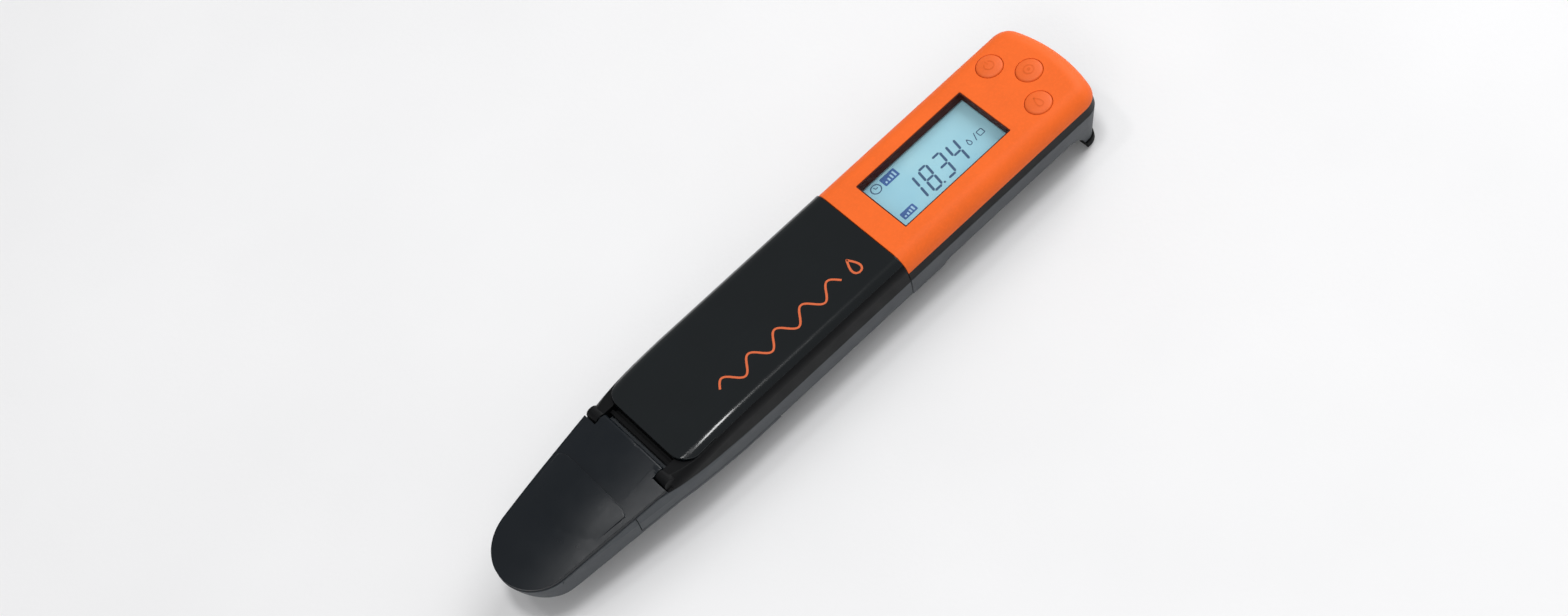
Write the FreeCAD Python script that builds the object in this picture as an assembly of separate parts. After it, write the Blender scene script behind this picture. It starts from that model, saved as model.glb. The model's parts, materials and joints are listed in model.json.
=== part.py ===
"""Pocket flat-sensor water meter: a hand-held body that carries a display and three keys, and a plug-on
sensor whose flat tip is covered by a hinged light shield and held in a pull-off guard.

Millimetres. +X runs from the sensor tip to the key end, +Z out of the display face, Y = 0 is the plane of
symmetry, and Z = 0 is the underside of the rubber foot. The origin is the middle of the bottom of the
bounding box.
"""
import FreeCAD, Part
import math
import os

from FreeCAD import Vector

# ---- overall sizes -------------------------------------------------------------------------------------------
LENGTH = 164.0
WIDTH = 29.0
HEIGHT = 20.0               # foot to display face, without the domes of the keys
HALF_LENGTH = LENGTH / 2
HALF_WIDTH = WIDTH / 2
PARTING_Z = 13.0            # level where the upper body meets the lower hull
HULL_DRAFT = 0.22           # inward lean of the lower hull, mm per mm of depth
WALL = 1.5
FIT_GAP = 0.15              # gap between neighbouring pieces that move apart
PIN_GAP = 0.05              # radial clearance of a pin in its bore
FAR = 200.0                 # longer than any piece, for cutting prisms

# ---- plan outline --------------------------------------------------------------------------------------------
TAPER_SLOPE = 0.1185        # half width lost per mm towards the tip
TAPER_X = -46.0             # station where the tapered half width is given
TAPER_HALF = 13.8
BLEND_R = 110.0             # arc between the parallel sides and the taper
REAR_BOW_R = 39.0
REAR_CORNER_R = 5.0

# ---- side profile --------------------------------------------------------------------------------------------
TOP_FLAT_X = -22.0          # the top starts to droop here, towards the tip
TOP_DROOP_R = 117.0
SHOULDER_R = 4.0
PARTING_RISE_X = -14.0      # the parting line starts to rise here, towards the tip
PARTING_RISE_R = 198.0
SENSOR_SHOULDER_R = 3.3
GLOSS_SEAM_DEPTH = 1.25     # lower edge of the gloss cover, below the top
HULL_Z = 6.2                # underside of the sensor hull
METER_Z = 7.4               # underside of the meter, behind the step
STEP_X0, STEP_X1 = 31.0, 34.3
RAMP_X0 = -26.0
CREST_X, CREST_Z = -44.0, 8.9
SPOON_X = -70.0             # the underside of the tip starts to curl up here
SPOON_R = 12.0
FOOT_ARC_X, FOOT_ARC_Z, FOOT_ARC_R = 69.0, 1.7, 5.7
FOOT_Z = 2.2                # underside of the moulded heel, above its rubber foot
FOOT_FRONT_X = 74.8
FOOT_PROUD = 0.4            # how far the rubber foot stands out from the heel
FOOT_EDGE_R = 0.8
FOOT_STUD_X, FOOT_STUD_Y, FOOT_STUD_R, FOOT_STUD_H = 77.2, 6.0, 1.2, 2.0
HULL_EDGE_R = 0.9

# ---- sensor tip, inclined to the body ------------------------------------------------------------------------
TIP_SLOPE = math.radians(6.5)
RIM_X, RIM_Z = -46.0, 16.1  # a point on the rim where the lid meets the guard
JOINT_X = 22.85             # plane between sensor and meter
SENSOR_FRONT_X = -45.4      # front end of the sensor's frame
GUARD_X = -54.0             # rear end of the guard's walls
TRAY_REAR_X = -46.0         # the plate is clamped in the hull behind this station
GUARD_TONGUE_X = -16.0      # rear end of the guard's bottom plate
GUARD_TONGUE_T = 1.0
GUARD_WALL = 1.4
GUARD_FLOOR = 2.4
GUARD_TIP_WALL = 1.8        # thickness of the guard's curled tip, measured upright
TRAY_LEAN = 0.26            # inward lean of the guard's inner walls, mm per mm of depth
LID_TOP = 2.3               # crown of the lid above the rim plane
LID_CROSS_R = 62.0          # crown of the lid across its width
LID_LONG_R = 260.0          # droop of the lid towards the tip
LID_BEND_X = -58.0          # the droop starts here
LID_WELL = 0.4              # depth of the hollow under the lid
LID_INSET = 0.2             # the lid's edge is this far inside the guard's
LID_X = -45.6               # hinge end of the lid's full width
DOME_X = -54.2              # hinge end of the thumb dome on the lid
DOME_RISE, DOME_CROSS_R, DOME_LONG_R = 0.65, 46.0, 95.0
DOME_INSET, DOME_CORNER_R = 1.2, 5.0
HINGE_X, HINGE_Z = -44.0, 16.75
PIN_R = 0.7
KNUCKLE_R = 1.35
KNUCKLE_HALF = 9.7
FLANGE_X = -42.5            # hinge end of the lid's middle flange
FLANGE_EDGE_R = 0.8
HINGE_SWEEP_R = 2.25        # room round the hinge for the flange
EAR_R = 1.5
EAR_IN, EAR_OUT = 9.95, 13.2
EAR_BLOCK_Z = 15.8
EAR_STEP = 0.35             # the blocks behind the ears stay this far below them, clear of the open lid
PIN_END = 12.7
BAR_X0, BAR_X1, BAR_Z = -41.6, -40.6, 16.7      # bar between the ears
GROOVE_Z = 15.6             # bottom of the groove behind the bar
GLOSS_FRONT_X = -39.8
GLOSS_FRONT_CORNER_R = 4.5
PLATE_TOP = -1.3            # top of the sensor plate, below the rim plane
PLATE_GAP = 0.4             # between the sensor plate and the guard
PLATE_X = -44.8             # rear end of the sensor plate, in front of the hinge
WELL_X, WELL_R = -64.0, 6.2
WELL_DEPTH, WELL_RING_T, WELL_RING_H = 0.7, 0.8, 0.7
ELECTRODE_T = 0.6
SENSOR_SPOTS = ((-66.6, 0.0, 1.9), (-61.4, 0.0, 1.9), (-64.0, 3.9, 0.9))   # x, y, radius in the well
LEAD_X0, LEAD_HALF, LEAD_Z, LEAD_T = -68.0, 3.0, -3.6, 0.3
RIBBON_GAP = 0.1
RIM_TO_KEEL = 7.38          # rim plane to the underside of the tip, square to both
PIN_INNER = 8.4             # inner ends of the hinge pins

# ---- plug between meter and sensor ---------------------------------------------------------------------------
PLUG_X = 7.0
PLUG_HALF = 9.2
PLUG_Z0, PLUG_Z1 = 8.6, 15.6
PLUG_CORNER_R = 1.5
SOCKET_GAP = 0.2
CONTACT_R = 0.45
CONTACT_PITCH = 2.8
CONTACT_COUNT = 5
CONTACT_BOARD_X = 3.6
CONTACT_SET = 3.0           # depth of a contact in the plug
SEAL_X, SEAL_W, SEAL_DEPTH = 20.6, 1.4, 0.9

# ---- meter ---------------------------------------------------------------------------------------------------
SKIRT_Z = 15.8              # lower edge of the top case
BAND_INSET = 0.1            # the middle frame stands back from the skirt
BAND_INNER = 1.9            # inner face of the middle frame, from the outer faces of the cases
WINDOW_X0, WINDOW_X1 = 29.25, 60.35
WINDOW_HALF = 8.0
WINDOW_DEPTH = 2.5
COLLAR_T = 1.2
WINDOW_T = 0.6
LCD_T = 1.4
LCD_MARGIN = 0.6
KEY_R = 3.05
KEY_GAP = 0.08
KEY_TRAVEL = 0.4
KEY_RISE = 0.5
KEY_EDGE_RISE = 0.12        # the key's rim stands this far out of the case
KEY_FLANGE_R, KEY_FLANGE_T = 3.6, 0.25
MAT_MARGIN = 0.6            # between the keypad mat and the inside of the case
KEY_SPOTS = {"key_power": (69.05, 7.65), "key_cal": (73.7, 0.0), "key_measure": (69.05, -7.65)}
CELL_R, CELL_T = 10.0, 3.2
CELL_X = (38.6, 59.2)
CELL_Z = 9.1
HOLDER_TOP_Z = 13.0
BOARD_Z = 13.4
BOARD_T = 0.8
MAT_Z, MAT_T = 16.9, 0.6
DOOR_X0, DOOR_X1, DOOR_HALF = 27.6, 69.6, 10.7
DOOR_TOP_Z = 8.9
SCREW_SPOTS = ((25.9, 11.2), (25.9, -11.2), (73.0, 11.2), (73.0, -11.2))
SCREW_R, SCREW_HEAD_R, SCREW_HEAD_T = 0.8, 1.5, 1.1
SCREW_SEAT_Z = 9.2
HEEL_X = 72.0               # front of the solid heel
BOARD_X1 = 78.0
CONTACT_STRIP_T = 0.25


# ---- helpers -------------------------------------------------------------------------------------------------
def box(x0, x1, y0, y1, z0, z1):
    return Part.makeBox(x1 - x0, y1 - y0, z1 - z0, Vector(x0, y0, z0))


def slab(x0, x1, half, z0, z1):
    """A box that is centred on the plane of symmetry."""
    return box(x0, x1, -half, half, z0, z1)


def rounded_slab(x0, x1, half, z0, z1, radius):
    """A centred box with its four upright edges rounded."""
    shape = slab(x0, x1, half, z0, z1)
    upright = [e for e in shape.Edges if abs(e.tangentAt(e.FirstParameter).z) > 0.99]
    return shape.makeFillet(radius, upright)


def rod_x(x0, x1, y, z, radius):
    return Part.makeCylinder(radius, x1 - x0, Vector(x0, y, z), Vector(1, 0, 0))


def rod_y(x, z, radius, y0, y1):
    return Part.makeCylinder(radius, y1 - y0, Vector(x, y0, z), Vector(0, 1, 0))


def rod_z(x, y, radius, z0, z1):
    return Part.makeCylinder(radius, z1 - z0, Vector(x, y, z0), Vector(0, 0, 1))


def outline(z, inset):
    """The plan outline at height z, moved inwards by inset: a round tip, tapered sides, parallel sides and a
    bowed key end with round corners. All its arcs keep their centres as it moves inwards."""
    lean = math.atan(TAPER_SLOPE)
    normal = Vector(-math.sin(lean), math.cos(lean), 0)
    # the tip's circle touches both tapered sides and ends at -HALF_LENGTH
    tip_r = (TAPER_HALF - TAPER_SLOPE * (TAPER_X + HALF_LENGTH)) / (1 / math.cos(lean) - TAPER_SLOPE)
    tip_c = Vector(-HALF_LENGTH + tip_r, 0, z)
    meet_x = TAPER_X + (HALF_WIDTH - TAPER_HALF) / TAPER_SLOPE
    blend_c = Vector(meet_x + BLEND_R * math.tan(lean / 2), HALF_WIDTH - BLEND_R, z)
    bow_c = Vector(HALF_LENGTH - REAR_BOW_R, 0, z)
    corner_y = HALF_WIDTH - REAR_CORNER_R
    corner_dx = math.sqrt((REAR_BOW_R - REAR_CORNER_R) ** 2 - corner_y ** 2)
    corner_c = Vector(bow_c.x + corner_dx, corner_y, z)
    outward = Vector(corner_dx, corner_y, 0).normalize()
    side = Vector(0, 1, 0)
    tip_end = tip_c + normal * (tip_r - inset)
    taper_end = blend_c + normal * (BLEND_R - inset)
    side_start = blend_c + side * (BLEND_R - inset)
    side_end = corner_c + side * (REAR_CORNER_R - inset)
    bow_end = corner_c + outward * (REAR_CORNER_R - inset)

    def arc(centre, radius, a, b):
        middle = centre + ((a - centre) + (b - centre)).normalize() * radius
        return Part.Arc(a, middle, b).toShape()

    def flip(p):
        return Vector(p.x, -p.y, p.z)

    far_side = [
        Part.LineSegment(tip_end, taper_end).toShape(),
        arc(blend_c, BLEND_R - inset, taper_end, side_start),
        Part.LineSegment(side_start, side_end).toShape(),
        arc(corner_c, REAR_CORNER_R - inset, side_end, bow_end),
    ]
    near_side = [
        arc(flip(corner_c), REAR_CORNER_R - inset, flip(bow_end), flip(side_end)),
        Part.LineSegment(flip(side_end), flip(side_start)).toShape(),
        arc(flip(blend_c), BLEND_R - inset, flip(side_start), flip(taper_end)),
        Part.LineSegment(flip(taper_end), flip(tip_end)).toShape(),
    ]
    bow = Part.Arc(bow_end, Vector(HALF_LENGTH - inset, 0, z), flip(bow_end)).toShape()
    tip = Part.Arc(flip(tip_end), Vector(-HALF_LENGTH + inset, 0, z), tip_end).toShape()
    return Part.Wire(far_side + [bow] + near_side + [tip])


def tub(z0, inset0, z1, inset1):
    """A solid between two outlines, with leaning walls."""
    return Part.makeLoft([outline(z0, inset0), outline(z1, inset1)], True, True)


def hull_block(inset=0.0):
    """The lower hull: it leans in below the parting level and is upright above it."""
    top = PARTING_Z + 4.5
    lower = tub(0.0, inset + HULL_DRAFT * PARTING_Z, PARTING_Z, inset)
    upper = tub(PARTING_Z, inset, top, inset)
    return lower.fuse(upper).removeSplitter()


def upright_block(z0, z1, inset=0.0):
    """A solid with upright walls on the plan outline."""
    return Part.Face(outline(z0, inset)).extrude(Vector(0, 0, z1 - z0))


def prism(edges, half=FAR):
    """Extrudes a closed side profile, made in the plane Y = 0, to both sides."""
    face = Part.Face(Part.Wire(edges))
    face.translate(Vector(0, -half, 0))
    return face.extrude(Vector(0, 2 * half, 0))


def p(x, z):
    return Vector(x, 0, z)


def line(a, b):
    return Part.LineSegment(a, b).toShape()


def arc3(a, m, b):
    return Part.Arc(a, m, b).toShape()


def above_underside(lift=0.0):
    """Everything above the underside profile, which is raised by lift."""
    slope = math.tan(TIP_SLOPE)
    spoon_start = p(SPOON_X, CREST_Z - (CREST_X - SPOON_X) * slope)
    spoon_c = spoon_start + p(-math.sin(TIP_SLOPE), math.cos(TIP_SLOPE)) * SPOON_R
    spoon_end = p(spoon_c.x - SPOON_R, spoon_c.z)
    diagonal = math.radians(45)
    spoon_mid = spoon_c + p(-math.cos(diagonal), -math.sin(diagonal)) * SPOON_R
    step_mid = p((STEP_X0 + STEP_X1) / 2, (HULL_Z + METER_Z) / 2)
    run, rise = (STEP_X1 - STEP_X0) / 2, (METER_Z - HULL_Z) / 2
    step_r = (run ** 2 + rise ** 2) / (2 * rise)
    half_turn = math.asin(run / step_r) / 2
    step_a = p(STEP_X0 + step_r * math.sin(half_turn), HULL_Z + step_r * (1 - math.cos(half_turn)))
    step_b = p(STEP_X1 - step_r * math.sin(half_turn), METER_Z - step_r * (1 - math.cos(half_turn)))
    foot_top = p(FOOT_ARC_X, FOOT_ARC_Z + FOOT_ARC_R)
    foot_mid = p(FOOT_ARC_X + FOOT_ARC_R * math.sin(diagonal), FOOT_ARC_Z + FOOT_ARC_R * math.cos(diagonal))
    foot_sine = (FOOT_Z - FOOT_ARC_Z) / FOOT_ARC_R
    foot_front = p(FOOT_ARC_X + FOOT_ARC_R * math.sqrt(1 - foot_sine ** 2), FOOT_Z)
    hull_rear, hull_front = p(STEP_X0, HULL_Z), p(RAMP_X0, HULL_Z)
    crest = p(CREST_X, CREST_Z)
    rear = p(FAR, FOOT_Z)
    edges = [
        line(rear, foot_front),
        arc3(foot_front, foot_mid, foot_top),
        line(foot_top, p(STEP_X1, METER_Z)),
        arc3(p(STEP_X1, METER_Z), step_b, step_mid),
        arc3(step_mid, step_a, hull_rear),
        line(hull_rear, hull_front),
        line(hull_front, crest),
        line(crest, spoon_start),
        arc3(spoon_start, spoon_mid, spoon_end),
        line(spoon_end, p(-FAR, spoon_end.z)),
        line(p(-FAR, spoon_end.z), p(-FAR, FAR)),
        line(p(-FAR, FAR), p(FAR, FAR)),
        line(p(FAR, FAR), rear),
    ]
    shape = prism(edges)
    shape.translate(Vector(0, 0, lift))
    return shape


def rim_line_z(x):
    return RIM_Z - (RIM_X - x) * math.tan(TIP_SLOPE)


def below_rim(lift=0.0):
    """Everything below the inclined rim plane, which is raised by lift."""
    z0, z1 = rim_line_z(-FAR) + lift, rim_line_z(FAR) + lift
    corners = [p(-FAR, z0), p(FAR, z1), p(FAR, -FAR), p(-FAR, -FAR)]
    return prism([line(a, b) for a, b in zip(corners, corners[1:] + corners[:1])])


def below_parting(lift=0.0):
    """Everything below the parting line, which rises towards the tip in front of PARTING_RISE_X."""
    reach = 46.0
    rise = PARTING_RISE_R - math.sqrt(PARTING_RISE_R ** 2 - reach ** 2)
    half = reach / 2
    half_rise = PARTING_RISE_R - math.sqrt(PARTING_RISE_R ** 2 - half ** 2)
    start = p(PARTING_RISE_X, PARTING_Z)
    middle = p(PARTING_RISE_X - half, PARTING_Z + half_rise)
    end = p(PARTING_RISE_X - reach, PARTING_Z + rise)
    edges = [
        line(p(FAR, PARTING_Z), start),
        arc3(start, middle, end),
        line(end, p(-FAR, end.z)),
        line(p(-FAR, end.z), p(-FAR, -FAR)),
        line(p(-FAR, -FAR), p(FAR, -FAR)),
        line(p(FAR, -FAR), p(FAR, PARTING_Z)),
    ]
    shape = prism(edges)
    shape.translate(Vector(0, 0, lift))
    return shape


def below_top(lift=0.0):
    """Everything below the top profile, which droops towards the tip in front of TOP_FLAT_X."""
    reach = 40.0
    drop = TOP_DROOP_R - math.sqrt(TOP_DROOP_R ** 2 - reach ** 2)
    half = reach / 2
    half_drop = TOP_DROOP_R - math.sqrt(TOP_DROOP_R ** 2 - half ** 2)
    start = p(TOP_FLAT_X, HEIGHT)
    middle = p(TOP_FLAT_X - half, HEIGHT - half_drop)
    end = p(TOP_FLAT_X - reach, HEIGHT - drop)
    edges = [
        line(p(FAR, HEIGHT), start),
        arc3(start, middle, end),
        line(end, p(end.x, -FAR)),
        line(p(end.x, -FAR), p(FAR, -FAR)),
        line(p(FAR, -FAR), p(FAR, HEIGHT)),
    ]
    shape = prism(edges)
    shape.translate(Vector(0, 0, lift))
    return shape


def incline(shape):
    """Turns a shape made on a level rim plane (z = 0 at x = RIM_X) into the inclined tip."""
    turned = shape.copy()
    turned.translate(Vector(0, 0, RIM_Z))
    turned.rotate(Vector(RIM_X, 0, RIM_Z), Vector(0, 1, 0), -math.degrees(TIP_SLOPE))
    return turned


def decline(shape):
    """The reverse of incline."""
    turned = shape.copy()
    turned.rotate(Vector(RIM_X, 0, RIM_Z), Vector(0, 1, 0), math.degrees(TIP_SLOPE))
    turned.translate(Vector(0, 0, -RIM_Z))
    return turned


def fillet_where(shape, radius, wanted):
    """Rounds the edges for which wanted(edge) is true. A smaller radius is tried where one does not fit."""
    edges = [e for e in shape.Edges if wanted(e)]
    for share in (1.0, 0.8, 0.6, 0.4):
        try:
            rounded = shape.makeFillet(radius * share, edges)
            if rounded.isValid() and rounded.Volume > 0:
                return rounded
        except Part.OCCError:
            continue
    raise RuntimeError("no fillet fits")


# ---- common blocks -------------------------------------------------------------------------------------------
def upper_body(inset=0.0, shoulder=SHOULDER_R):
    """The upper body with its round shoulders, moved inwards and down by inset."""
    top = HEIGHT - inset
    body = upright_block(PARTING_Z - 2.0, top, inset).common(below_top(-inset))
    front = -60.0

    def on_top_rim(edge):
        if edge.BoundBox.XMax < front + 0.1:
            return False
        mid = edge.valueAt((edge.FirstParameter + edge.LastParameter) / 2)
        droop = max(0.0, TOP_FLAT_X - mid.x)
        level = top - (TOP_DROOP_R - math.sqrt(TOP_DROOP_R ** 2 - droop ** 2))
        crosswise = edge.BoundBox.YLength > 2 * 9.0 and edge.BoundBox.XLength < 0.01
        return abs(mid.z - level) < 0.01 and not crosswise

    body = body.common(slab(front, FAR, FAR, -FAR, FAR))
    rim = [e for e in body.Edges if on_top_rim(e)]
    return body.makeFillet(shoulder - inset, rim)


def plan_slice(z0, z1, inset, x0, x1):
    """The plan outline as an upright block between two stations."""
    return upright_block(z0, z1, inset).common(slab(x0, x1, FAR, z0, z1))


def mirror_pair(shape):
    """A shape and its mirror image across the plane of symmetry."""
    return shape.fuse(shape.mirror(Vector(0, 0, 0), Vector(0, 1, 0)))


def contact_spots():
    """Centres of the plug's contacts across the width."""
    first = -CONTACT_PITCH * (CONTACT_COUNT - 1) / 2
    return [first + CONTACT_PITCH * i for i in range(CONTACT_COUNT)]


def plug_block(gap=0.0):
    return rounded_block_x(PLUG_X - gap, JOINT_X + WALL + 0.1, PLUG_HALF + gap, PLUG_Z0 - gap, PLUG_Z1 + gap,
                           PLUG_CORNER_R + gap)


def rounded_block_x(x0, x1, half, z0, z1, radius):
    """A centred block along X whose long edges are rounded."""
    shape = slab(x0, x1, half, z0, z1)
    lengthwise = [e for e in shape.Edges if abs(e.tangentAt(e.FirstParameter).x) > 0.99]
    return shape.makeFillet(radius, lengthwise)


# ---- sensor --------------------------------------------------------------------------------------------------
def sensor_zone(z0=-FAR, z1=FAR):
    return slab(SENSOR_FRONT_X, JOINT_X - FIT_GAP, FAR, z0, z1)


def gloss_cover():
    plan = rounded_slab(GLOSS_FRONT_X, FAR, HALF_WIDTH - 1.0, 0, FAR, GLOSS_FRONT_CORNER_R)
    wide = slab(GLOSS_FRONT_X + 2 * GLOSS_FRONT_CORNER_R, FAR, FAR, 0, FAR)
    shell = upper_body(0.0, SENSOR_SHOULDER_R).common(plan.fuse(wide)).common(sensor_zone())
    shell = shell.cut(below_top(-GLOSS_SEAM_DEPTH))
    room = slab(GLOSS_FRONT_X + WALL, JOINT_X - 2 * WALL, FAR, 0, FAR)
    hollow = upper_body(WALL, SENSOR_SHOULDER_R).common(room)
    return shell.cut(hollow)


def sensor_frame():
    """The black band round the sensor, with the ears and the bar of the hinge at its front."""
    body = upper_body(0.0, SENSOR_SHOULDER_R).common(sensor_zone()).common(below_top(-GLOSS_SEAM_DEPTH))
    body = body.cut(below_parting())
    hollow = upright_block(0, FAR, WALL).common(slab(GLOSS_FRONT_X + WALL, JOINT_X - 2 * WALL, FAR, 0, FAR))
    body = body.cut(hollow)
    body = body.cut(slab(-FAR, BAR_X0, EAR_IN, 0, FAR))
    body = body.cut(slab(-FAR, BAR_X1, EAR_IN, BAR_Z, FAR))
    body = body.cut(slab(BAR_X1, GLOSS_FRONT_X, EAR_IN, GROOVE_Z, FAR))
    body = body.cut(mirror_pair(box(-FAR, HINGE_X + EAR_R, EAR_IN, FAR, EAR_BLOCK_Z, FAR)))
    ear = box(SENSOR_FRONT_X, GLOSS_FRONT_X, EAR_IN, EAR_OUT, PARTING_Z, EAR_BLOCK_Z)
    ear = ear.fuse(rod_y(HINGE_X, HINGE_Z, EAR_R, EAR_IN, EAR_OUT))
    ears = mirror_pair(ear).common(upright_block(0, FAR)).fuse(ear_shoulders())
    body = body.fuse(ears.cut(below_parting()))
    pin_holes = rod_y(HINGE_X, HINGE_Z, PIN_R, -PIN_END, PIN_END)
    return body.cut(pin_holes).cut(plug_block(SOCKET_GAP)).cut(sensor_plate_space())


def ear_shoulders():
    """The blocks behind the ears, reaching round the corners of the gloss cover."""
    reach = GLOSS_FRONT_X + GLOSS_FRONT_CORNER_R
    block = mirror_pair(box(HINGE_X, reach, EAR_IN, FAR, EAR_BLOCK_Z - 1, HINGE_Z + EAR_R - EAR_STEP))
    cover = rounded_slab(GLOSS_FRONT_X - FIT_GAP, FAR, HALF_WIDTH - 1.0 + FIT_GAP, 0, FAR,
                         GLOSS_FRONT_CORNER_R + FIT_GAP)
    return block.common(upper_body(0.0, SENSOR_SHOULDER_R)).cut(cover)


def hull_cavity(x0, x1, floor):
    return hull_block(WALL).common(above_underside(floor)).common(slab(x0, x1, FAR, 0, FAR))


def sensor_hull():
    """The grey hull. It runs forward to the guard, and the sensor plate is clamped in its front wall."""
    front_x = GUARD_X + FIT_GAP
    body = hull_block().common(above_underside()).common(slab(front_x, JOINT_X - FIT_GAP, FAR, 0, FAR))
    body = round_keel(body).common(below_parting()).common(below_rim())
    tongue_room = prism_box(front_x - 1, GUARD_TONGUE_X + FIT_GAP)
    body = body.cut(tongue_room.cut(above_underside(GUARD_TONGUE_T + FIT_GAP)))
    tray = incline(tray_room(0.0)).common(slab(-FAR, TRAY_REAR_X, FAR, 0, FAR))
    front = hull_cavity(BAR_X1, GUARD_TONGUE_X + 1.0, GUARD_TONGUE_T + FIT_GAP + WALL)
    rear = hull_cavity(GUARD_TONGUE_X + 0.5, JOINT_X - 2 * WALL, WALL)
    body = body.cut(tray).cut(front).cut(rear)
    body = body.cut(plug_block(SOCKET_GAP)).cut(sensor_plate_space())
    return body.cut(hinge_room()).cut(ribbon_block(RIBBON_GAP))


def hinge_room():
    """The space that the lid's knuckle and flange sweep through."""
    sweep = rod_y(HINGE_X, HINGE_Z, HINGE_SWEEP_R, -EAR_IN, EAR_IN)
    return sweep.fuse(slab(TRAY_REAR_X, HINGE_X, EAR_IN, HINGE_Z - HINGE_SWEEP_R, FAR))


def prism_box(x0, x1):
    return slab(x0, x1, FAR, -FAR, FAR)


def round_keel(body):
    """Rounds the lengthwise edges where the sides of the hull meet its flat underside."""
    def keel(edge):
        box_ = edge.BoundBox
        low = box_.ZMax < HULL_Z + 0.01 and box_.ZMin > HULL_Z - 0.01
        return low and box_.XLength > 20 and box_.YLength < 0.1
    return fillet_where(body, HULL_EDGE_R, keel)


def plate_blank():
    """The sensor plate without its well, on a level rim plane."""
    blank = tray_room(PLATE_GAP).common(slab(-FAR, PLATE_X, FAR, -FAR, PLATE_TOP))
    level_tip = above_underside(GUARD_TIP_WALL + PLATE_GAP)
    return blank.common(decline(level_tip))


def sensor_plate_space():
    """The room that the sensor plate takes inside the hull and frame."""
    return incline(plate_blank())


def sensor_plate():
    """The white plate that carries the flat sensor, with a raised ring round the sample well."""
    body = plate_blank()
    ring = rod_z(WELL_X, 0, WELL_R + WELL_RING_T, PLATE_TOP, PLATE_TOP + WELL_RING_H)
    body = body.fuse(ring)
    well = rod_z(WELL_X, 0, WELL_R, PLATE_TOP - WELL_DEPTH, FAR)
    pockets = [rod_z(x, y, r, PLATE_TOP - WELL_DEPTH - ELECTRODE_T, PLATE_TOP) for x, y, r in SENSOR_SPOTS]
    lead_room = slab(LEAD_X0, FAR, LEAD_HALF, LEAD_Z, LEAD_Z + LEAD_T)
    body = body.cut(well).cut(lead_room)
    for pocket in pockets:
        body = body.cut(pocket)
    return incline(body).cut(hinge_room())


def electrode(index, height):
    x, y, radius = SENSOR_SPOTS[index]
    floor = PLATE_TOP - WELL_DEPTH - ELECTRODE_T
    return incline(rod_z(x, y, radius, floor, floor + height))


def electrodes():
    return electrode(0, ELECTRODE_T).fuse(electrode(1, ELECTRODE_T))


def temperature_sensor():
    return electrode(2, ELECTRODE_T)


def sensor_lead():
    """The flat lead from the electrodes to the rear end of the sensor plate."""
    return incline(slab(LEAD_X0, PLATE_X, LEAD_HALF, LEAD_Z, LEAD_Z + LEAD_T))


def ribbon_block(gap=0.0):
    start = incline(Part.Vertex(PLATE_X, 0, LEAD_Z + LEAD_T)).Point
    foot = incline(Part.Vertex(PLATE_X, 0, LEAD_Z)).Point
    return slab(foot.x, CONTACT_BOARD_X, LEAD_HALF + gap, start.z - LEAD_T - gap, start.z + gap)


def lead_ribbon():
    """The flat cable from the sensor plate's lead to the contact board."""
    return ribbon_block()


def contact_board():
    return slab(CONTACT_BOARD_X, CONTACT_BOARD_X + BOARD_T, 8.0, PLUG_Z0 - 0.5, PLUG_Z1 - 0.5)


def contact_pads():
    x0 = CONTACT_BOARD_X + BOARD_T
    pads = [rounded_pad(x0, y) for y in contact_spots()]
    return Part.makeCompound(pads)


def rounded_pad(x0, y):
    half = CONTACT_PITCH / 2 - 0.4
    middle = (PLUG_Z0 + PLUG_Z1) / 2
    return box(x0, x0 + 0.1, y - half, y + half, middle - 1.6, middle + 1.6)


def board_rails():
    """Two posts inside the sensor that hold the contact board."""
    post = box(CONTACT_BOARD_X - 1.2, CONTACT_BOARD_X + BOARD_T + 1.2, 8.0, 9.6, HULL_Z + WALL, PARTING_Z)
    return mirror_pair(post)


def hinge_pins():
    return mirror_pair(rod_y(HINGE_X, HINGE_Z, PIN_R, PIN_INNER, PIN_END))


# ---- lid over the sensor -------------------------------------------------------------------------------------
def on_flange_end(edge):
    mid = edge.CenterOfMass
    return mid.x > FLANGE_X - 0.01 and mid.z > LID_TOP - 0.8


def lid_crown(top, cross_r, long_r, start_x):
    """A crowned block: round across its width, and drooping towards the tip in front of start_x."""
    straight = rod_x(start_x, FAR, 0, top - cross_r, cross_r)
    ring = Part.makeTorus(long_r - cross_r, cross_r, Vector(start_x, 0, top - long_r), Vector(0, 1, 0))
    quarter = slab(-FAR, start_x, FAR, top - long_r / 2, FAR)
    return straight.fuse(ring.common(quarter))


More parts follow.
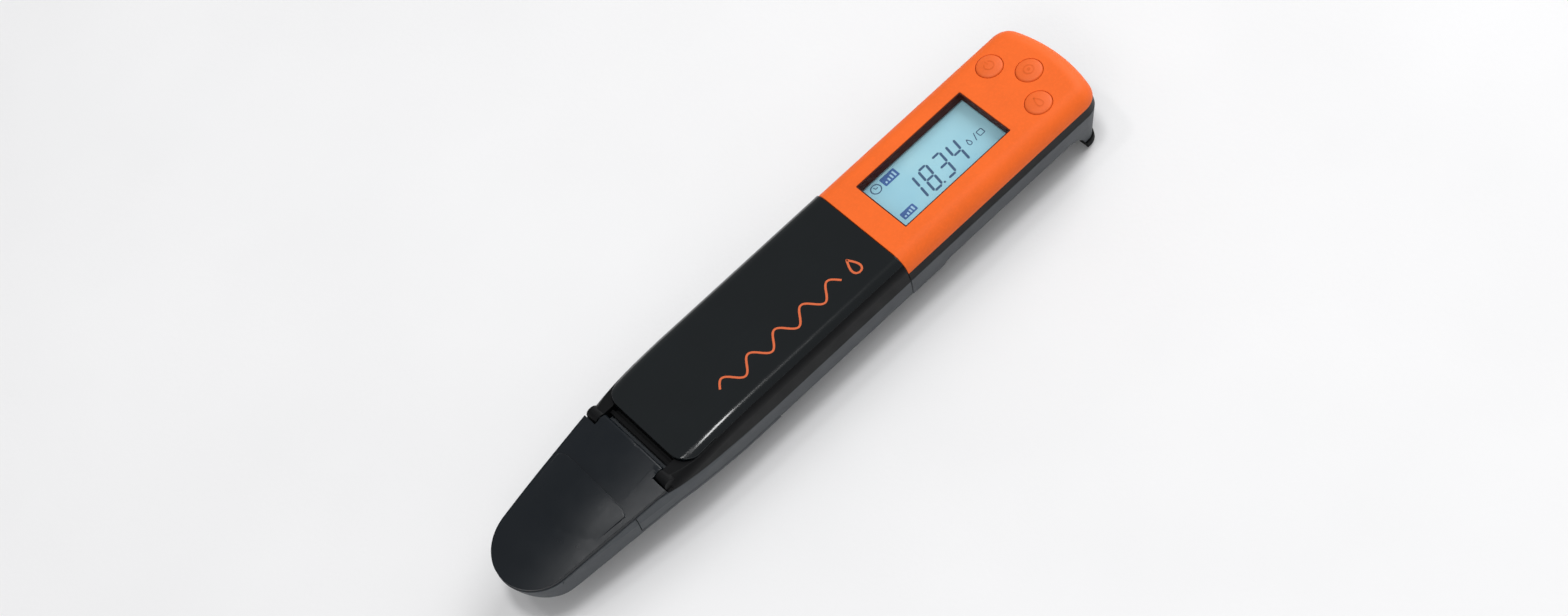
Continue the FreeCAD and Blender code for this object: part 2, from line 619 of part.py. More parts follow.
def light_shield():
    """The hinged lid: a crowned shell with a raised thumb dome, a middle flange and a hinge knuckle."""
    crown = lid_crown(LID_TOP, LID_CROSS_R, LID_LONG_R, LID_BEND_X)
    plan = upright_block(FIT_GAP, LID_TOP + 1, LID_INSET).common(slab(-FAR, LID_X, FAR, 0, FAR))
    flange = slab(LID_X - 1, FLANGE_X, KNUCKLE_HALF, FIT_GAP, LID_TOP + 1)
    blank = fillet_where(plan.fuse(flange).common(crown), FLANGE_EDGE_R, on_flange_end)
    dome_plan = rounded_slab(-FAR, DOME_X, HALF_WIDTH - DOME_INSET, 0, FAR, DOME_CORNER_R)
    dome_plan = dome_plan.common(upright_block(0, FAR, LID_INSET + DOME_INSET))
    dome_plan = dome_plan.common(slab(-HALF_LENGTH, FAR, FAR, LID_TOP / 4, LID_TOP + 2))
    dome = dome_plan.common(lid_crown(LID_TOP + DOME_RISE, DOME_CROSS_R, DOME_LONG_R, DOME_X))
    well = upright_block(0, LID_WELL, GUARD_WALL + 0.5).common(slab(-FAR, LID_X - WALL, FAR, 0, FAR))
    lid = incline(blank.fuse(dome).cut(well))
    knuckle = rod_y(HINGE_X, HINGE_Z, KNUCKLE_R, -KNUCKLE_HALF, KNUCKLE_HALF)
    lid = lid.fuse(knuckle)
    return lid.cut(rod_y(HINGE_X, HINGE_Z, PIN_R + PIN_GAP, -KNUCKLE_HALF, KNUCKLE_HALF))


# ---- guard ---------------------------------------------------------------------------------------------------
def tray_room(gap):
    """The room inside the guard, on a level rim plane, with all its faces moved inwards by gap."""
    depth = RIM_TO_KEEL - GUARD_FLOOR - gap
    return tub(-depth, GUARD_WALL + gap + TRAY_LEAN * depth, LID_WELL, GUARD_WALL + gap)


def sensor_guard():
    """The pull-off tray under the sensor, with a tongue that runs back under the hull."""
    outer = hull_block().common(above_underside())
    tray = outer.common(below_rim()).common(slab(-FAR, GUARD_X, FAR, 0, FAR))
    cavity = incline(tray_room(0.0)).common(above_underside(GUARD_TIP_WALL))
    tongue = outer.common(slab(GUARD_X - 0.5, GUARD_TONGUE_X, FAR, 0, FAR)).cut(above_underside(GUARD_TONGUE_T))
    return tray.cut(cavity).fuse(tongue)


# ---- meter ---------------------------------------------------------------------------------------------------
def meter_zone():
    return slab(JOINT_X, FAR, FAR, -FAR, FAR)


def meter_room(top, inset=WALL):
    """The room inside the meter's upper body."""
    return upper_body(inset).common(slab(JOINT_X + WALL, FAR, FAR, 0, top))


def top_case():
    shell = upper_body().common(meter_zone()).common(slab(0, FAR, FAR, SKIRT_Z, FAR))
    shell = shell.cut(meter_room(FAR))
    collar = slab(WINDOW_X0 - COLLAR_T, WINDOW_X1 + COLLAR_T, WINDOW_HALF + COLLAR_T, HEIGHT - WINDOW_DEPTH,
                  HEIGHT - WALL / 2)
    opening = rounded_slab(WINDOW_X0, WINDOW_X1, WINDOW_HALF, 0, FAR, 0.3)
    shell = shell.fuse(collar).cut(opening)
    for x, y in KEY_SPOTS.values():
        shell = shell.cut(rod_z(x, y, KEY_R + KEY_GAP, 0, FAR))
    for x, y in SCREW_SPOTS:
        shell = shell.fuse(rod_z(x, y, 2 * SCREW_R, SKIRT_Z, HEIGHT - WALL / 2).common(upper_body()))
    return shell


def middle_frame():
    """The black band between the cases, with the plug that enters the sensor."""
    ring = plan_slice(PARTING_Z, SKIRT_Z, BAND_INSET, JOINT_X, FAR)
    ring = ring.cut(plan_slice(0, FAR, BAND_INNER, JOINT_X + WALL, FAR))
    for x, y in SCREW_SPOTS:
        ring = ring.fuse(rod_z(x, y, 2 * SCREW_R, PARTING_Z, SKIRT_Z).common(upright_block(0, FAR, BAND_INSET)))
    ring = ring.fuse(plug_block())
    groove = rounded_block_x(SEAL_X, SEAL_X + SEAL_W, FAR, -FAR, FAR, 0.1)
    core = rounded_block_x(0, FAR, PLUG_HALF - SEAL_DEPTH, PLUG_Z0 + SEAL_DEPTH, PLUG_Z1 - SEAL_DEPTH,
                           PLUG_CORNER_R)
    ring = ring.cut(groove.cut(core))
    for y in contact_spots():
        ring = ring.cut(rod_x(PLUG_X - 1, PLUG_X + CONTACT_SET, y, (PLUG_Z0 + PLUG_Z1) / 2, CONTACT_R))
    for x, y in SCREW_SPOTS:
        ring = ring.cut(rod_z(x, y, SCREW_R, 0, SKIRT_Z - 0.6))
    return ring


def plug_seal():
    body = rounded_block_x(SEAL_X, SEAL_X + SEAL_W, PLUG_HALF + SOCKET_GAP / 2, PLUG_Z0 - SOCKET_GAP / 2,
                           PLUG_Z1 + SOCKET_GAP / 2, PLUG_CORNER_R)
    core = rounded_block_x(0, FAR, PLUG_HALF - SEAL_DEPTH, PLUG_Z0 + SEAL_DEPTH, PLUG_Z1 - SEAL_DEPTH,
                           PLUG_CORNER_R)
    return body.cut(core)


def contact_pins():
    tip_x = CONTACT_BOARD_X + BOARD_T + 0.1 + FIT_GAP
    z = (PLUG_Z0 + PLUG_Z1) / 2
    return Part.makeCompound([rod_x(tip_x, PLUG_X + CONTACT_SET, y, z, CONTACT_R) for y in contact_spots()])


def foot():
    """The rubber foot under the heel, with two studs that hold it."""
    inset = HULL_DRAFT * (PARTING_Z - FOOT_Z) - FOOT_PROUD
    pad = tub(0, inset, FOOT_Z, inset)
    pad = pad.common(slab(FOOT_FRONT_X, FAR, FAR, 0, FAR))
    pad = fillet_where(pad, FOOT_EDGE_R, lambda e: e.BoundBox.ZMax < 0.01)
    stud = rod_z(FOOT_STUD_X, FOOT_STUD_Y, FOOT_STUD_R, FOOT_Z, FOOT_Z + FOOT_STUD_H)
    return pad.fuse(mirror_pair(stud))


def door_block(gap=0.0):
    return rounded_slab(DOOR_X0 - gap, DOOR_X1 + gap, DOOR_HALF + gap, 0, DOOR_TOP_Z, 2.0 + gap)


def lower_case():
    body = hull_block().common(above_underside()).common(meter_zone())
    body = body.common(slab(0, FAR, FAR, 0, PARTING_Z))
    cavity = hull_block(WALL).common(above_underside(WALL)).common(slab(JOINT_X + WALL, HEEL_X, FAR, 0, FAR))
    body = body.cut(cavity).cut(plug_block())
    for x, y in SCREW_SPOTS:
        body = body.fuse(rod_z(x, y, SCREW_HEAD_R + 0.8, HULL_Z, PARTING_Z).common(
            hull_block().common(above_underside()).common(meter_zone())))
        body = body.cut(rod_z(x, y, SCREW_HEAD_R + 0.1, -FAR, SCREW_SEAT_Z))
        body = body.cut(rod_z(x, y, SCREW_R, 0, FAR))
    return body.cut(door_block(FIT_GAP)).cut(foot())


def battery_door():
    skin = hull_block().common(above_underside()).common(door_block())
    nick = rounded_slab(DOOR_X1 - 5.0, DOOR_X1 - 3.4, 4.0, 0, METER_Z + 0.5, 0.7)
    return skin.cut(nick)


def case_screws():
    shape = []
    for x, y in SCREW_SPOTS:
        head = rod_z(x, y, SCREW_HEAD_R, SCREW_SEAT_Z - SCREW_HEAD_T, SCREW_SEAT_Z)
        shank = rod_z(x, y, SCREW_R, SCREW_SEAT_Z, SKIRT_Z - 0.6)
        slot_z = SCREW_SEAT_Z - SCREW_HEAD_T
        slot = box(x - 1.0, x + 1.0, y - 0.2, y + 0.2, slot_z, slot_z + 0.5)
        cross = box(x - 0.2, x + 0.2, y - 1.0, y + 1.0, slot_z, slot_z + 0.5)
        shape.append(head.fuse(shank).cut(slot).cut(cross))
    return Part.makeCompound(shape)


def display_window():
    z1 = HEIGHT - WINDOW_DEPTH
    return slab(WINDOW_X0 - COLLAR_T, WINDOW_X1 + COLLAR_T, WINDOW_HALF + COLLAR_T, z1 - WINDOW_T, z1)


def lcd_top():
    return HEIGHT - WINDOW_DEPTH - WINDOW_T


def lcd_glass():
    z1 = lcd_top()
    return slab(WINDOW_X0 - LCD_MARGIN, WINDOW_X1 + LCD_MARGIN, WINDOW_HALF + LCD_MARGIN, z1 - LCD_T, z1)


def lcd_backlight():
    z0 = BOARD_Z + BOARD_T
    return slab(WINDOW_X0, WINDOW_X1, WINDOW_HALF - 0.9, z0, lcd_top() - LCD_T)


def connector_strips():
    strip = box(WINDOW_X0, WINDOW_X1, WINDOW_HALF - 0.6, WINDOW_HALF + 0.4,
                BOARD_Z + BOARD_T, lcd_top() - LCD_T)
    return mirror_pair(strip)


def key(x, y):
    """A domed key cap on a flange that keeps it in the case."""
    rim_z = HEIGHT + KEY_EDGE_RISE
    sphere_r = (KEY_R ** 2 + (KEY_RISE - KEY_EDGE_RISE) ** 2) / (2 * (KEY_RISE - KEY_EDGE_RISE))
    cap = rod_z(x, y, KEY_R, MAT_Z + MAT_T + KEY_TRAVEL + 0.05, HEIGHT + 2 * KEY_RISE)
    crown = Part.makeSphere(sphere_r, Vector(x, y, HEIGHT + KEY_RISE - sphere_r))
    flange_z = MAT_Z + MAT_T + KEY_TRAVEL + 0.05
    flange = rod_z(x, y, KEY_FLANGE_R, flange_z, flange_z + KEY_FLANGE_T)
    return cap.common(crown).fuse(flange).common(slab(0, FAR, FAR, 0, rim_z + KEY_RISE))


def keypad_mat():
    mat = plan_slice(MAT_Z, MAT_Z + MAT_T, WALL + MAT_MARGIN, WINDOW_X1 + COLLAR_T + 0.5, FAR)
    for x, y in SCREW_SPOTS:
        mat = mat.cut(rod_z(x, y, 2 * SCREW_R + 0.2, 0, FAR))
    return mat


def tact_switches():
    shape = []
    for x, y in KEY_SPOTS.values():
        base = box(x - 1.8, x + 1.8, y - 1.8, y + 1.8, BOARD_Z + BOARD_T, BOARD_Z + BOARD_T + 1.9)
        plunger = rod_z(x, y, 0.9, BOARD_Z + BOARD_T + 1.9, MAT_Z)
        shape.append(base.fuse(plunger))
    return Part.makeCompound(shape)


def main_board():
    board = plan_slice(BOARD_Z, BOARD_Z + BOARD_T, BAND_INNER + 0.3, JOINT_X + WALL + 0.3, BOARD_X1)
    for x, y in SCREW_SPOTS:
        board = board.cut(rod_z(x, y, 2 * SCREW_R + 0.2, 0, FAR))
    return board


def board_components():
    z0 = BOARD_Z + BOARD_T
    chip = box(62.4, 66.4, -2.4, 2.4, z0, z0 + 1.0)
    crystal = box(67.4, 68.6, -1.6, 1.6, z0, z0 + 0.8)
    parts = [chip, crystal]
    for i in range(4):
        parts.append(box(63.0, 64.6, 5.2 + 1.6 * i, 6.0 + 1.6 * i, z0, z0 + 0.6))
        parts.append(box(63.0, 64.6, -6.0 - 1.6 * i, -5.2 - 1.6 * i, z0, z0 + 0.6))
    return Part.makeCompound(parts)


def battery_holder():
    body = slab(CELL_X[0] - CELL_R - 0.8, CELL_X[1] + CELL_R + 0.8, CELL_R + 0.6, CELL_Z, HOLDER_TOP_Z)
    for x in CELL_X:
        body = body.cut(rod_z(x, 0, CELL_R + 0.1, 0, CELL_Z + CELL_T + CONTACT_STRIP_T))
    return body.common(hull_block(WALL))


def coin_cells():
    shape = []
    for x in CELL_X:
        can = rod_z(x, 0, CELL_R, CELL_Z, CELL_Z + CELL_T)
        step = rod_z(x, 0, FAR / 4, CELL_Z - 1, CELL_Z + 0.5).cut(rod_z(x, 0, CELL_R - 1.0, 0, FAR))
        shape.append(can.cut(step))
    return Part.makeCompound(shape)


def battery_contacts():
    z0 = CELL_Z + CELL_T
    return Part.makeCompound([slab(x - 5.0, x + 5.0, 2.0, z0, z0 + CONTACT_STRIP_T) for x in CELL_X])


def battery_seal():
    z1 = CELL_Z
    ring = rounded_slab(DOOR_X0 + 0.6, DOOR_X1 - 0.6, DOOR_HALF - 0.6, DOOR_TOP_Z, z1, 1.6)
    return ring.cut(rounded_slab(DOOR_X0 + 1.6, DOOR_X1 - 1.6, DOOR_HALF - 1.6, 0, z1, 1.0))


def export(node, shape):
    solids = shape.Solids
    if not solids:
        raise RuntimeError(node + " has no solid")
    if not shape.isValid():
        raise RuntimeError(node + " is not valid")
    whole = Part.makeCompound(solids) if len(solids) > 1 else solids[0]
    whole.exportStep("parts/" + node + ".step")


NODES = {
    "gloss_cover": gloss_cover,
    "sensor_frame": sensor_frame,
    "sensor_hull": sensor_hull,
    "sensor_plate": sensor_plate,
    "electrodes": electrodes,
    "temperature_sensor": temperature_sensor,
    "sensor_lead": sensor_lead,
    "lead_ribbon": lead_ribbon,
    "contact_board": contact_board,
    "contact_pads": contact_pads,
    "board_rails": board_rails,
    "hinge_pins": hinge_pins,
    "light_shield": light_shield,
    "sensor_guard": sensor_guard,
    "top_case": top_case,
    "middle_frame": middle_frame,
    "plug_seal": plug_seal,
    "contact_pins": contact_pins,
    "lower_case": lower_case,
    "battery_door": battery_door,
    "battery_seal": battery_seal,
    "foot": foot,
    "case_screws": case_screws,
    "display_window": display_window,
    "lcd_glass": lcd_glass,
    "lcd_backlight": lcd_backlight,
    "connector_strips": connector_strips,
    "keypad_mat": keypad_mat,
    "tact_switches": tact_switches,
    "main_board": main_board,
    "board_components": board_components,
    "battery_holder": battery_holder,
    "coin_cells": coin_cells,
    "battery_contacts": battery_contacts,
}


def main():
    os.makedirs("parts", exist_ok=True)
    for node, make in NODES.items():
        export(node, make())
    for node, (x, y) in KEY_SPOTS.items():
        export(node, key(x, y))


main()
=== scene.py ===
import json
import math

import bmesh
import bpy
from mathutils import Matrix, Vector
from mathutils.bvhtree import BVHTree
from mathutils.kdtree import KDTree


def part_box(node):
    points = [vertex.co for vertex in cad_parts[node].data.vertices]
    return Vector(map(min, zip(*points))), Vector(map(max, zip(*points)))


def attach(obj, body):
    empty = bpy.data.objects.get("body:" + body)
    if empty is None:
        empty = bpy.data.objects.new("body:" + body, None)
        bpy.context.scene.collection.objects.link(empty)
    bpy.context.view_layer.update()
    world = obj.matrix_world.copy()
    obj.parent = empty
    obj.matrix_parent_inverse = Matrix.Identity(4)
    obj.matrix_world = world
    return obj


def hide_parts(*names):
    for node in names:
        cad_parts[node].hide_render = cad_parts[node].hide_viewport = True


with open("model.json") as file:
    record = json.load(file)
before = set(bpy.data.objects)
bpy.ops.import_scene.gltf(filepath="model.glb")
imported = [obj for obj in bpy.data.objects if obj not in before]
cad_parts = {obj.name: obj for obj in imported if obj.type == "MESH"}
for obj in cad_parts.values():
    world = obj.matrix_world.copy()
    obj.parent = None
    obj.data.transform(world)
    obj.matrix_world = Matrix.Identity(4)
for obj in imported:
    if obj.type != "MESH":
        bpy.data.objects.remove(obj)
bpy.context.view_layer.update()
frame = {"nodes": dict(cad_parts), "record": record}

MM = 0.001
DOWN = Vector((0, 0, -1))


# ---- camera --------------------------------------------------------------------------------------------------
CAMERA_AZIMUTH = math.radians(-20.016)
CAMERA_ELEVATION = math.radians(55.665)
CAMERA_ROLL = math.radians(16.623 - 42.5)
CAMERA_OFFSET = Vector((3.837, 6.955)) * MM      # where the camera's axis passes the origin, right and up
CAMERA_OFFSET_ROLL = math.radians(16.623)
CAMERA_DISTANCE = 610 * MM
LENS_MM = 65.1
SHIFT = (-0.0070, 0.0013)


def make_camera():
    """A camera above the object's near side, rolled so that the object runs from low left to high right."""
    az, el = CAMERA_AZIMUTH, CAMERA_ELEVATION
    back = Vector((math.sin(az) * math.cos(el), -math.cos(az) * math.cos(el), math.sin(el)))
    level = Vector((math.cos(az), math.sin(az), 0))
    rise = back.cross(level)

    def rolled(angle):
        right = level * math.cos(angle) + rise * math.sin(angle)
        return right, back.cross(right)

    offset_right, offset_up = rolled(CAMERA_OFFSET_ROLL)
    right, up = rolled(CAMERA_ROLL)
    place = offset_right * CAMERA_OFFSET.x + offset_up * CAMERA_OFFSET.y + back * CAMERA_DISTANCE
    data = bpy.data.cameras.new("camera")
    data.sensor_width = 36
    data.lens = LENS_MM
    data.shift_x, data.shift_y = SHIFT
    data.clip_start = 0.01
    camera = bpy.data.objects.new("camera", data)
    turn = Matrix((right, up, back)).transposed()
    camera.matrix_world = Matrix.Translation(place) @ turn.to_4x4()
    bpy.context.collection.objects.link(camera)
    bpy.context.scene.camera = camera


# ---- materials -----------------------------------------------------------------------------------------------
def linear(red, green, blue):
    """A colour given as 0-255 display values, in linear light."""
    def one(value):
        value /= 255
        return value / 12.92 if value <= 0.04045 else ((value + 0.055) / 1.055) ** 2.4
    return one(red), one(green), one(blue), 1


NOISE_SOFTNESS = 0.55
PATTERN_MIDDLE = (0.3, 0.7)              # the span of a noise pattern that roughness follows
COLOUR_SOCKETS = (6, 7, 2)               # the mix node's two colour inputs and its colour output


class Finish:
    """One material: a Principled shader with layers of procedural detail, sized in millimetres."""

    def __init__(self, name, colour, roughness, **sockets):
        self.material = bpy.data.materials.new(name)
        self.material.use_nodes = True
        self.material.diffuse_color = colour
        self.tree = self.material.node_tree
        self.shader = self.tree.nodes["Principled BSDF"]
        self.colour = colour
        self.shader.inputs["Base Color"].default_value = colour
        self.shader.inputs["Roughness"].default_value = roughness
        for socket, value in sockets.items():
            self.shader.inputs[socket.replace("_", " ")].default_value = value
        self.place = self.node("ShaderNodeTexCoord").outputs["Object"]

    def node(self, kind, **values):
        made = self.tree.nodes.new(kind)
        for name, value in values.items():
            if name in made.inputs:
                self.set(made.inputs[name], value)
            else:
                setattr(made, name, value)
        return made

    def set(self, socket, value):
        if isinstance(value, bpy.types.NodeSocket):
            self.tree.links.new(value, socket)
        else:
            socket.default_value = value

    def stretched(self, stretch):
        mapping = self.node("ShaderNodeMapping", Vector=self.place)
        mapping.inputs["Scale"].default_value = stretch
        return mapping.outputs["Vector"]

    def noise(self, size, detail=3, stretch=(1, 1, 1)):
        """Smooth noise whose features are about size mm across."""
        made = self.node("ShaderNodeTexNoise", Vector=self.stretched(stretch), Scale=1 / (size * MM),
                         Detail=detail, Roughness=NOISE_SOFTNESS)
        return made.outputs[0]

    def cells(self, size):
        """The distance pattern of small cells about size mm across."""
        made = self.node("ShaderNodeTexVoronoi", Vector=self.place, Scale=1 / (size * MM))
        return made.outputs["Distance"]

    def ramp(self, factor, low, high, to_min=0.0, to_max=1.0):
        made = self.node("ShaderNodeMapRange", Value=factor)
        for name, value in (("From Min", low), ("From Max", high), ("To Min", to_min), ("To Max", to_max)):
            made.inputs[name].default_value = value
        return made.outputs["Result"]

    def mottle(self, factor, other):
        """Mixes the colour so far with another one where factor is high."""
        first, second, result = COLOUR_SOCKETS
        mix = self.node("ShaderNodeMix", data_type="RGBA")
        self.set(mix.inputs[0], factor)
        base = self.shader.inputs["Base Color"]
        source = base.links[0].from_socket if base.is_linked else self.colour
        self.set(mix.inputs[first], source)
        self.set(mix.inputs[second], other)
        self.set(base, mix.outputs[result])
        return self

    def bump(self, height, depth):
        """Adds relief of depth mm where height goes from 0 to 1."""
        normal = self.shader.inputs["Normal"]
        bump = self.node("ShaderNodeBump", Height=height, Distance=depth * MM)
        if normal.is_linked:
            self.set(bump.inputs["Normal"], normal.links[0].from_socket)
        self.set(normal, bump.outputs["Normal"])
        return self

    def gloss(self, factor, low, high):
        """Roughness that follows a pattern between two values."""
        self.set(self.shader.inputs["Roughness"], self.ramp(factor, *PATTERN_MIDDLE, low, high))
        return self


def shade(colour, factor):
    """The colour made darker or lighter by a factor."""
    return tuple(c * factor for c in colour[:3]) + (1,)


def moulded(name, colour, roughness, grain=0.22, depth=0.012, **sockets):
    """Moulded plastic: fine spark-eroded grain, faint flow marks, slightly uneven gloss."""
    f = Finish(name, colour, roughness, **sockets)
    f.mottle(f.ramp(f.noise(9, 4), 0.35, 0.7), shade(colour, 0.93))
    f.mottle(f.ramp(f.noise(0.6, 2), 0.45, 0.75, 0, 0.5), shade(colour, 1.07))
    f.gloss(f.noise(5, 2), roughness - 0.03, roughness + 0.05)
    f.bump(f.noise(6, 2), 0.02)
    f.bump(f.cells(grain), depth)
    return f


def polished(name, colour, roughness, **sockets):
    """Polished plastic: a thin clear coat, faint wiping marks and a few specks of dust."""
    f = Finish(name, colour, roughness, Coat_Weight=0.25, Coat_Roughness=0.13, **sockets)
    f.mottle(f.ramp(f.noise(14, 3), 0.4, 0.7), shade(colour, 1.25))
    f.mottle(f.ramp(f.noise(0.35, 1), 0.78, 0.82), shade(colour, 3.0))
    f.gloss(f.noise(0.25, 2, stretch=(0.04, 1, 1)), roughness, roughness + 0.06)
    f.bump(f.noise(11, 1), 0.02)
    return f


def rubber(name, colour, roughness=0.75, **sockets):
    """Soft rubber: matt, with a dusty sheen and a slightly uneven skin."""
    f = Finish(name, colour, roughness, Sheen_Weight=0.06, Sheen_Roughness=0.5, **sockets)
    f.mottle(f.ramp(f.noise(3, 4), 0.4, 0.75), shade(colour, 1.3))
    f.gloss(f.noise(2, 4), roughness - 0.08, roughness + 0.1)
    f.bump(f.noise(0.35, 3), 0.02)
    return f


def metal(name, colour, roughness, along=(1, 1, 1)):
    """Metal with fine tooling lines and a light tarnish."""
    f = Finish(name, colour, roughness, Metallic=1.0)
    lines = f.noise(0.12, 2, stretch=along)
    f.mottle(f.ramp(f.noise(1.5, 4), 0.45, 0.75), shade(colour, 0.8))
    f.gloss(lines, roughness - 0.06, roughness + 0.12)
    f.bump(lines, 0.003)
    return f


def glass(name, colour, roughness):
    """Clear plastic seen through, with a thin shine and faint wiping marks."""
    f = Finish(name, colour, roughness, Alpha=0.04, Specular_IOR_Level=0.25)
    f.gloss(f.noise(0.3, 2, stretch=(0.1, 1, 1)), roughness, roughness + 0.06)
    f.bump(f.noise(12, 1), 0.01)
    return f


def printed(name, colour):
    """Printed or switched-on ink: flat, slightly uneven cover with a soft edge of gloss."""
    f = Finish(name, colour, 0.45, Specular_IOR_Level=0.25)
    f.mottle(f.ramp(f.noise(0.5, 3), 0.35, 0.75), shade(colour, 0.88))
    f.gloss(f.noise(0.8, 3), 0.38, 0.55)
    f.bump(f.noise(0.15, 2), 0.003)
    return f


def display_panel():
    """The lit liquid crystal panel: pale blue, a little lighter in broad random patches, with a fine cell grid.
    """
    colour = linear(143, 198, 216)
    f = Finish("lcd_panel", colour, 0.32, Coat_Weight=0.3, Coat_Roughness=0.15)
    f.mottle(f.ramp(f.noise(13, 2), 0.35, 0.7), linear(158, 208, 221))
    f.mottle(f.ramp(f.noise(0.25, 1), 0.5, 0.8, 0, 0.4), linear(138, 194, 214))
    f.bump(f.noise(7, 2), 0.01)
    return f


def circuit_board():
    """Green solder mask over faint copper tracks."""
    colour = linear(22, 92, 58)
    f = Finish("circuit_board", colour, 0.35, Coat_Weight=0.5, Coat_Roughness=0.2)
    wave = f.node("ShaderNodeTexWave", Vector=f.place, Scale=1 / (2.4 * MM), Distortion=6.0)
    wave.inputs["Detail Scale"].default_value = 1.5
    tracks = f.ramp(wave.outputs["Fac"], 0.62, 0.7)
    f.mottle(tracks, linear(34, 122, 74))
    f.mottle(f.ramp(f.cells(1.7), 0.07, 0.03), linear(196, 160, 84))
    f.bump(tracks, 0.02)
    return f


def striped_rubber():
    """Elastomer strip of thin conducting and insulating layers."""
    f = Finish("zebra_rubber", linear(214, 190, 186), 0.7)
    stripes = f.node("ShaderNodeTexWave", Vector=f.place, Scale=1 / (1.2 * MM), bands_direction="X")
    f.mottle(f.ramp(stripes.outputs["Fac"], 0.4, 0.6), linear(60, 55, 55))
    f.bump(stripes.outputs["Fac"], 0.01)
    return f


def studio_floor():
    """Plain pale paper with a faint unevenness."""
    f = Finish("floor_paper", linear(238, 238, 239), 0.85, Specular_IOR_Level=0.1)
    f.mottle(f.ramp(f.noise(90, 3), 0.35, 0.7), linear(234, 234, 235))
    f.bump(f.noise(1.1, 4), 0.03)
    return f


ORANGE = linear(238, 104, 36)            # of the case; keys, rubber and signs are shades of it
BLACK = linear(7, 8, 10)
GREY = linear(68, 72, 76)
BLUE_INK = linear(6, 66, 110)
FLAG_INK = linear(6, 78, 150)

# the slots of the record
FINISHES = {
    "orange_plastic": lambda: moulded("orange_plastic", ORANGE, 0.52, grain=0.2, depth=0.008,
                                      Specular_IOR_Level=0.2),
    "orange_key": lambda: moulded("orange_key", shade(ORANGE, 0.94), 0.5, grain=0.16, depth=0.006,
                                  Specular_IOR_Level=0.35),
    "orange_rubber": lambda: rubber("orange_rubber", shade(ORANGE, 0.95)),
    "black_plastic": lambda: moulded("black_plastic", BLACK, 0.45, grain=0.2, depth=0.012,
                                     Specular_IOR_Level=0.16),
    "black_gloss": lambda: polished("black_gloss", linear(8, 14, 17), 0.15, Specular_IOR_Level=0.3),
    "black_satin": lambda: moulded("black_satin", linear(13, 19, 25), 0.3, grain=0.18, depth=0.003,
                                   Specular_IOR_Level=0.3),
    "grey_plastic": lambda: moulded("grey_plastic", GREY, 0.5, grain=0.22, depth=0.014,
                                    Specular_IOR_Level=0.3),
    "white_plastic": lambda: moulded("white_plastic", linear(232, 234, 232), 0.4, grain=0.2, depth=0.006),
    "electrode_black": lambda: rubber("electrode_black", linear(26, 26, 30), 0.6),
    "gold_contact": lambda: metal("gold_contact", linear(222, 180, 96), 0.24),
    "lead_film": lambda: polished("lead_film", linear(190, 118, 40), 0.22),
    "circuit_board": circuit_board,
    "chip_black": lambda: moulded("chip_black", linear(40, 41, 44), 0.5, grain=0.12, depth=0.006),
    "switch_black": lambda: moulded("switch_black", linear(36, 37, 40), 0.42, grain=0.12, depth=0.006),
    "seal_rubber": lambda: rubber("seal_rubber", linear(34, 34, 36), 0.6),
    "zebra_rubber": striped_rubber,
    "foot_rubber": lambda: rubber("foot_rubber", linear(6, 6, 7), 0.7, Specular_IOR_Level=0.1),
    "steel_screw": lambda: metal("steel_screw", linear(186, 186, 188), 0.3),
    "spring_steel": lambda: metal("spring_steel", linear(196, 192, 182), 0.32, along=(0.05, 1, 1)),
    "cell_steel": lambda: metal("cell_steel", linear(200, 202, 204), 0.26),
    "clear_window": lambda: glass("clear_window", linear(226, 238, 242), 0.03),
    "lcd": display_panel,
    "diffuser": lambda: moulded("diffuser", linear(236, 240, 242), 0.6, grain=0.3, depth=0.01),
}
# inks, a liner whose dark brown is partly painted shade, and painted recess shade, that belong to no slot
EXTRA_FINISHES = {
    "digit_ink": lambda: printed("digit_ink", BLUE_INK),
    "flag_ink": lambda: printed("flag_ink", FLAG_INK),
    "pale_ink": lambda: printed("pale_ink", linear(158, 200, 226)),
    "orange_ink": lambda: printed("orange_ink", linear(214, 104, 62)),
    # dark brown: partly the liner's own colour, partly painted shade of the display opening's walls
    "window_liner_painted_shade": lambda: moulded("window_liner_painted_shade", linear(72, 26, 16), 0.6, grain=0.12, depth=0.006,
                                    Specular_IOR_Level=0.2),
    "sign_orange": lambda: printed("sign_orange", shade(ORANGE, 0.86)),
    # near black: painted shade standing in for the dark of the screws' cross recesses
    "painted_recess_shade": lambda: printed("painted_recess_shade", linear(22, 22, 24)),
    "stamped_steel": lambda: metal("stamped_steel", linear(160, 162, 164), 0.38),
    "plate_print": lambda: printed("plate_print", linear(128, 132, 135)),
}
FINISHES.update(EXTRA_FINISHES)
MADE = {}


def finish(name):
    """The material of that name, made when it is first asked for."""
    if name not in MADE:
        MADE[name] = FINISHES[name]().material
    return MADE[name]


SLOT_OF = {part["node"]: part["material_slot"] for part in frame["record"]["subparts"]}
BODY_OF = {node: body for body, nodes in frame["record"]["behaviour"]["bodies"].items() for node in nodes}


# ---- mesh tools ----------------------------------------------------------------------------------------------
def add_piece(name, mesh, body, slot, material=None):
    """A finished piece that rides on a body and takes its finish from a slot of the record."""
    piece = bpy.data.objects.new(name, mesh)
    bpy.context.collection.objects.link(piece)
    mesh.materials.clear()
    mesh.materials.append(material or finish(slot))
    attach(piece, body)
    return piece


WELD = 0.001 * MM
EDGE_ANGLE = math.radians(30)            # a sharper fold than this is an edge
FLAT_ANGLE = math.radians(0.02)          # faces flatter than this to each other are joined
QUAD_BEND = math.radians(8)              # two triangles become one quad up to this fold
QUAD_SHAPE = math.radians(60)            # and up to this much out of square
FLAT_FACE_WEIGHT = 50                    # 50 weighs faces by area and corner alike


